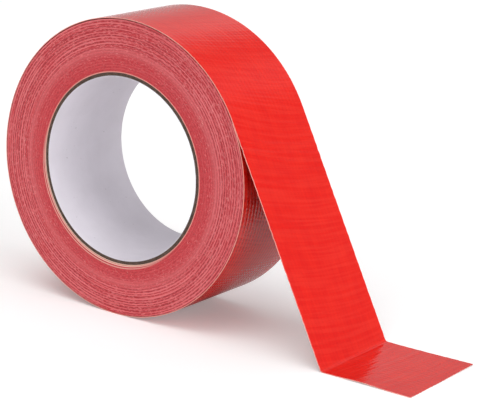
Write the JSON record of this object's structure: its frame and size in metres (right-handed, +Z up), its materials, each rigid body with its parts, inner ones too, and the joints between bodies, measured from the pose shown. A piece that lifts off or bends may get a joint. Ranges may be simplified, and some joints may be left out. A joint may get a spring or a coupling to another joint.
{
  "type": "duct tape roll",
  "caption": "Part-used roll of red cloth duct tape on a paper core, standing on edge, its free end pulled off in a slanted tail with a flap lying flat.",
  "frame": {"origin": "centre of the base of the whole object's box, on the surface that the roll stands on", "axes": "+X from the roll towards the pulled-off end of the tape, +Y along the roll's axis from its front side to its back side, +Z up"},
  "size_m": [0.203, 0.048, 0.1231],
  "materials": {
    "film": "satin polyethylene film over cloth",
    "scrim": "open woven cotton and polyester threads",
    "adhesive": "tacky natural-rubber adhesive",
    "wound_edge": "knife-cut edges of wound tape, layered and slightly fibrous",
    "liner_paper": "smooth matt white paper",
    "core_board": "raw cut grey-brown board",
    "outer_paper": "matt cream paper"
  },
  "bodies": {
    "roll": {"core_inner_liner": "liner_paper", "core_board_ply_1": "core_board", "core_board_ply_2": "core_board", "core_board_ply_3": "core_board", "core_outer_liner": "outer_paper", "tape_windings": "wound_edge"},
    "last_turn": {"outer_turn_film": "film", "outer_turn_scrim": "scrim", "outer_turn_adhesive": "adhesive"},
    "tail": {"tail_film": "film", "tail_scrim": "scrim", "tail_adhesive": "adhesive"},
    "flap": {"flap_film": "film", "flap_scrim": "scrim", "flap_adhesive": "adhesive"}
  },
  "joints": [
    {"name": "unwind", "type": "hinge", "parent": "roll", "child": "last_turn", "pos_m": [-0.03994, 0, 0.0615], "axis": [0, -1, 0], "continuous": true},
    {"name": "tail_peel", "type": "hinge", "parent": "last_turn", "child": "tail", "pos_m": [0.01479, 0, 0.09], "axis": [0, -1, 0], "range_deg": [0, 120]},
    {"name": "flap_fold", "type": "hinge", "parent": "tail", "child": "flap", "pos_m": [0.06163, 0, 0.00049], "axis": [0, -1, 0], "range_deg": [0, 105]}
  ]
}
